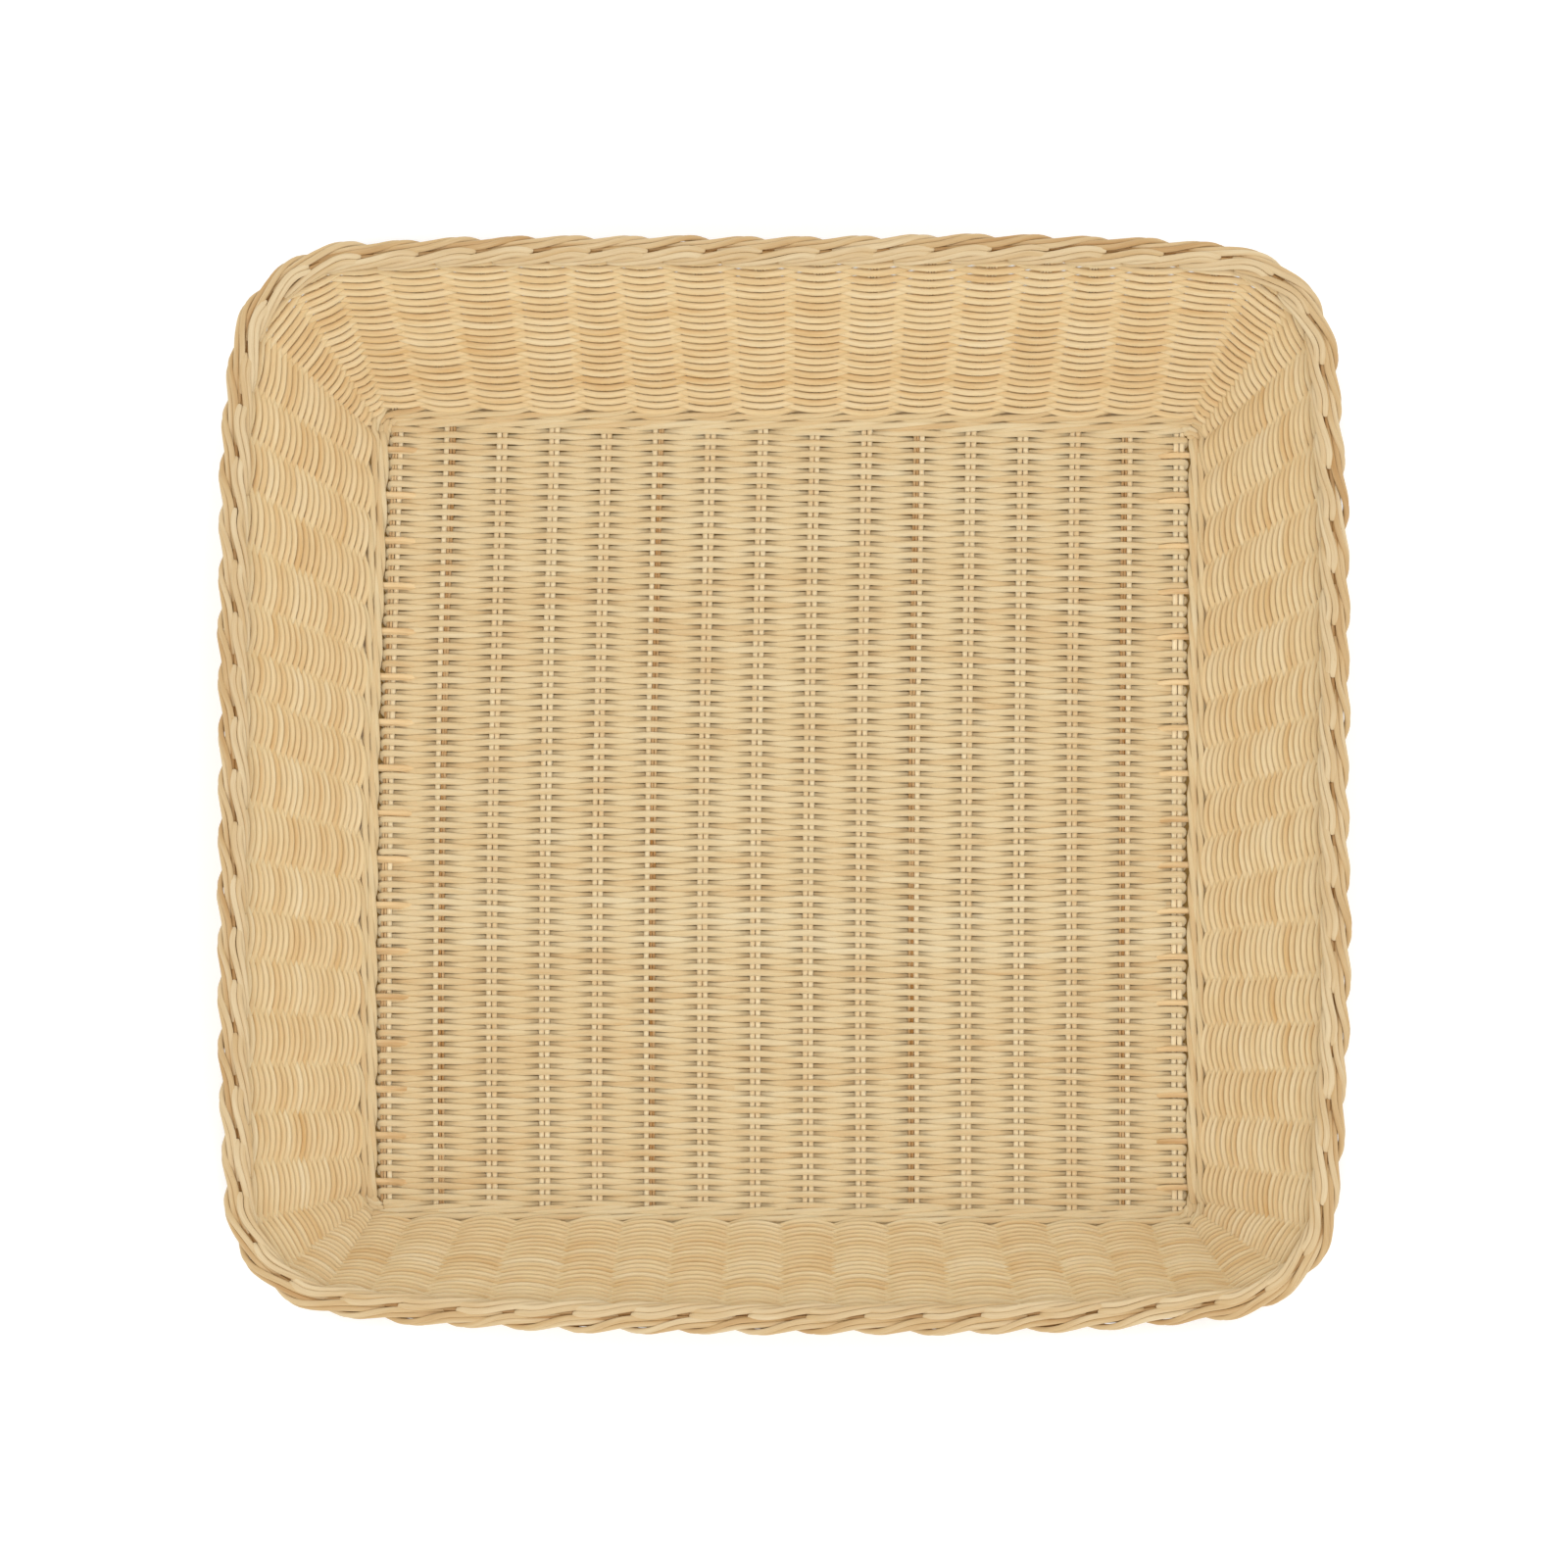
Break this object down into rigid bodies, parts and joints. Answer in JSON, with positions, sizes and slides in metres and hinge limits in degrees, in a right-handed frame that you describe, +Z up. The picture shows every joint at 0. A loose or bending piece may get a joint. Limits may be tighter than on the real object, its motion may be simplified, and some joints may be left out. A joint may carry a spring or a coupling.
{
  "type": "woven rattan basket",
  "caption": "Open square basket with a flat woven floor, flared fluted walls and a thick rolled border, woven from round rattan core on paired stakes.",
  "frame": {"origin": "on the ground, under the middle of the floor", "axes": "+Z up, +X to the right along the longer rim, +Y from the near wall to the far wall, along the through stakes"},
  "size_m": [0.495, 0.488, 0.119],
  "materials": {
    "weave": "bare rattan core weavers, pale straw, satin",
    "stake": "bare rattan core stakes, straw to light brown, satin",
    "border": "bare rattan core border rods, cream to honey, satin"
  },
  "bodies": {
    "root": {"floor_mat": "weave", "foot_wale": "weave", "wall_weave": "weave", "border": "border", "through_stake_01": "stake", "through_stake_02": "stake", "through_stake_03": "stake", "through_stake_04": "stake", "through_stake_05": "stake", "through_stake_06": "stake", "through_stake_07": "stake", "through_stake_08": "stake", "through_stake_09": "stake", "through_stake_10": "stake", "through_stake_11": "stake", "through_stake_12": "stake", "through_stake_13": "stake", "through_stake_14": "stake", "through_stake_15": "stake", "through_stake_16": "stake", "side_stake_right_01": "stake", "side_stake_right_02": "stake", "side_stake_right_03": "stake", "side_stake_right_04": "stake", "side_stake_right_05": "stake", "side_stake_right_06": "stake", "side_stake_right_07": "stake", "side_stake_right_08": "stake", "side_stake_right_09": "stake", "side_stake_right_10": "stake", "side_stake_right_11": "stake", "side_stake_right_12": "stake", "side_stake_right_13": "stake", "side_stake_right_14": "stake", "side_stake_right_15": "stake", "side_stake_right_16": "stake", "side_stake_right_17": "stake", "side_stake_left_01": "stake", "side_stake_left_02": "stake", "side_stake_left_03": "stake", "side_stake_left_04": "stake", "side_stake_left_05": "stake", "side_stake_left_06": "stake", "side_stake_left_07": "stake", "side_stake_left_08": "stake", "side_stake_left_09": "stake", "side_stake_left_10": "stake", "side_stake_left_11": "stake", "side_stake_left_12": "stake", "side_stake_left_13": "stake", "side_stake_left_14": "stake", "side_stake_left_15": "stake", "side_stake_left_16": "stake", "side_stake_left_17": "stake", "corner_stake_01": "stake", "corner_stake_02": "stake", "corner_stake_03": "stake", "corner_stake_04": "stake"}
  },
  "joints": []
}
